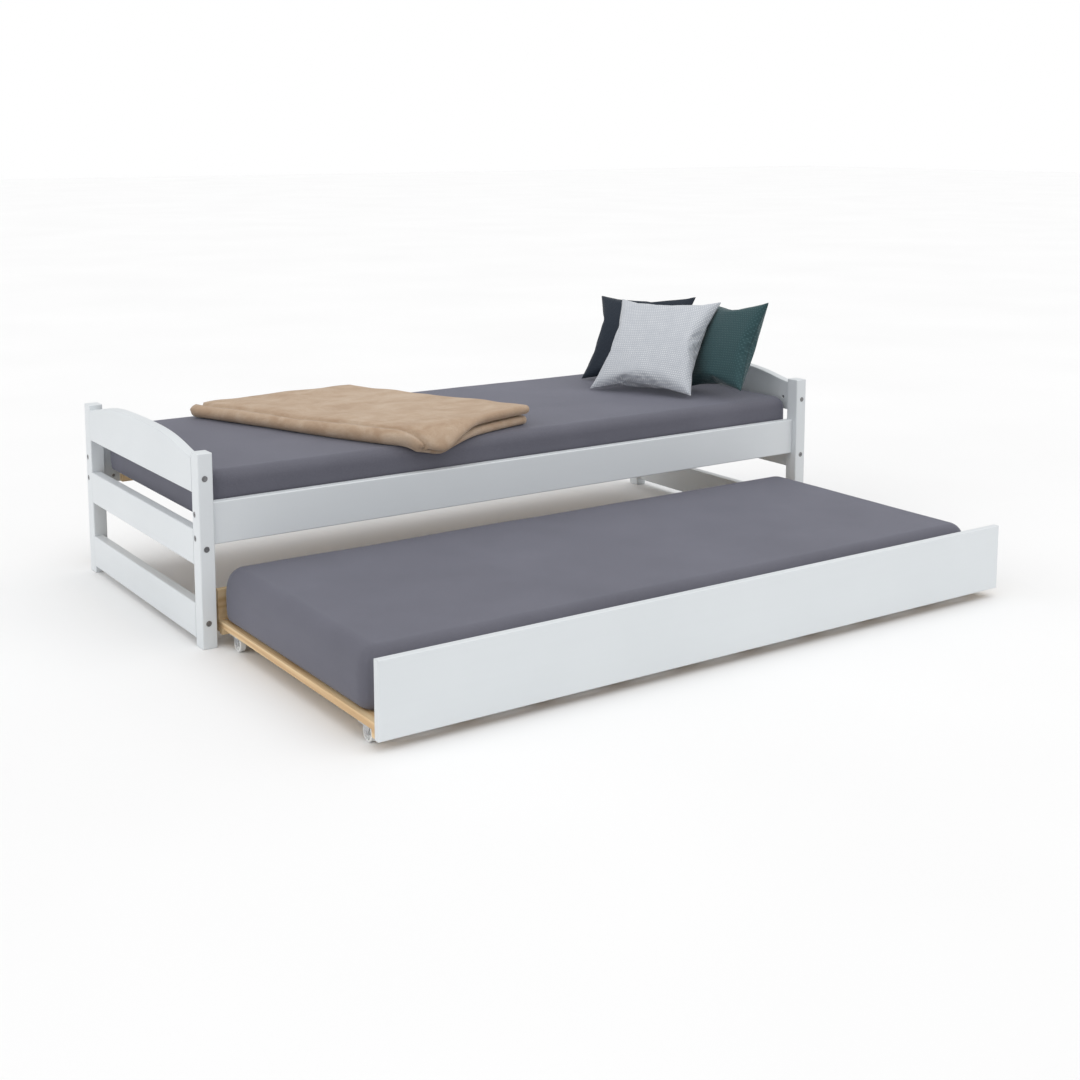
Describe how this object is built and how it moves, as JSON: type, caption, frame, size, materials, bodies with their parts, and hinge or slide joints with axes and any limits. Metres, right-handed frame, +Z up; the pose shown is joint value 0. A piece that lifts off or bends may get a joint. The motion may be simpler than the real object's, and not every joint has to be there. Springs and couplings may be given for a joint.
{
  "type": "trundle bed",
  "caption": "Low white solid-wood single bed with arched end rails and a roll-out trundle on castors, shown pulled out, both with grey mattresses; folded blanket and three cushions.",
  "frame": {"origin": "on the floor, under the middle of the bed and its pulled-out trundle", "axes": "+X along the bed from the foot end to the head end, +Y from the trundle's front panel to the wall side, +Z up"},
  "size_m": [2.08, 1.714, 0.768],
  "materials": {
    "white_paint": "satin white lacquer on solid pine",
    "natural_pine": "bare planed pine",
    "beech_dowel": "bare fluted beech",
    "bolt_steel": "dark zinc plated",
    "zinc_steel": "bright zinc plated",
    "castor_plastic": "moulded, semi-gloss",
    "grey_jersey": "knitted cotton jersey, stretched over the mattress",
    "camel_fleece": "soft brushed fleece",
    "silver_weave": "fine jacquard with a small repeat",
    "navy_weave": "plain weave",
    "teal_weave": "dotted weave with a slight sheen"
  },
  "bodies": {
    "bed": {"post_foot_front": "white_paint", "post_foot_rear": "white_paint", "post_head_front": "white_paint", "post_head_rear": "white_paint", "foot_top_rail": "white_paint", "foot_middle_rail": "white_paint", "foot_lower_rail": "white_paint", "head_top_rail": "white_paint", "head_middle_rail": "white_paint", "head_lower_rail": "white_paint", "front_side_rail": "white_paint", "rear_side_rail": "white_paint", "front_slat_ledge": "natural_pine", "rear_slat_ledge": "natural_pine", "end_rail_bolts": "bolt_steel", "side_rail_bolts": "bolt_steel", "barrel_nuts": "bolt_steel", "wooden_dowels": "beech_dowel", "bed_screws": "zinc_steel", "bed_slat_01": "natural_pine", "bed_slat_02": "natural_pine", "bed_slat_03": "natural_pine", "bed_slat_04": "natural_pine", "bed_slat_05": "natural_pine", "bed_slat_06": "natural_pine", "bed_slat_07": "natural_pine", "bed_slat_08": "natural_pine", "bed_slat_09": "natural_pine", "bed_slat_10": "natural_pine", "bed_mattress": "grey_jersey", "folded_blanket": "camel_fleece", "cushion_silver": "silver_weave", "cushion_navy": "navy_weave", "cushion_teal": "teal_weave"},
    "trundle": {"trundle_front_panel": "white_paint", "trundle_back_board": "natural_pine", "trundle_front_ledge": "natural_pine", "trundle_back_ledge": "natural_pine", "trundle_foot_bearer": "natural_pine", "trundle_head_bearer": "natural_pine", "trundle_slat_1": "natural_pine", "trundle_slat_2": "natural_pine", "trundle_slat_3": "natural_pine", "trundle_slat_4": "natural_pine", "trundle_slat_5": "natural_pine", "trundle_slat_6": "natural_pine", "trundle_slat_7": "natural_pine", "trundle_slat_8": "natural_pine", "trundle_screws": "zinc_steel", "castor_bracket_foot_front": "zinc_steel", "castor_bracket_foot_rear": "zinc_steel", "castor_bracket_head_front": "zinc_steel", "castor_bracket_head_rear": "zinc_steel", "castor_axles": "zinc_steel", "castor_screws": "zinc_steel", "trundle_mattress": "grey_jersey"},
    "wheel_foot_front": {"castor_wheel_foot_front": "castor_plastic"},
    "wheel_foot_rear": {"castor_wheel_foot_rear": "castor_plastic"},
    "wheel_head_front": {"castor_wheel_head_front": "castor_plastic"},
    "wheel_head_rear": {"castor_wheel_head_rear": "castor_plastic"}
  },
  "joints": [
    {"name": "trundle_slide", "type": "slide", "parent": "bed", "child": "trundle", "axis": [0, 1, 0], "range_m": [-0.15, 0.834]},
    {"name": "wheel_foot_front_spin", "type": "hinge", "parent": "trundle", "child": "wheel_foot_front", "pos_m": [-0.965, -0.78, 0.021], "axis": [1, 0, 0], "continuous": true},
    {"name": "wheel_foot_rear_spin", "type": "hinge", "parent": "trundle", "child": "wheel_foot_rear", "pos_m": [-0.965, -0.083, 0.021], "axis": [1, 0, 0], "continuous": true},
    {"name": "wheel_head_front_spin", "type": "hinge", "parent": "trundle", "child": "wheel_head_front", "pos_m": [0.965, -0.78, 0.021], "axis": [1, 0, 0], "continuous": true},
    {"name": "wheel_head_rear_spin", "type": "hinge", "parent": "trundle", "child": "wheel_head_rear", "pos_m": [0.965, -0.083, 0.021], "axis": [1, 0, 0], "continuous": true}
  ],
  "couplings": [
    {"joint": "wheel_foot_front_spin", "follows": "trundle_slide", "rad_per_m": -47.619},
    {"joint": "wheel_foot_rear_spin", "follows": "trundle_slide", "rad_per_m": -47.619},
    {"joint": "wheel_head_front_spin", "follows": "trundle_slide", "rad_per_m": -47.619},
    {"joint": "wheel_head_rear_spin", "follows": "trundle_slide", "rad_per_m": -47.619}
  ]
}
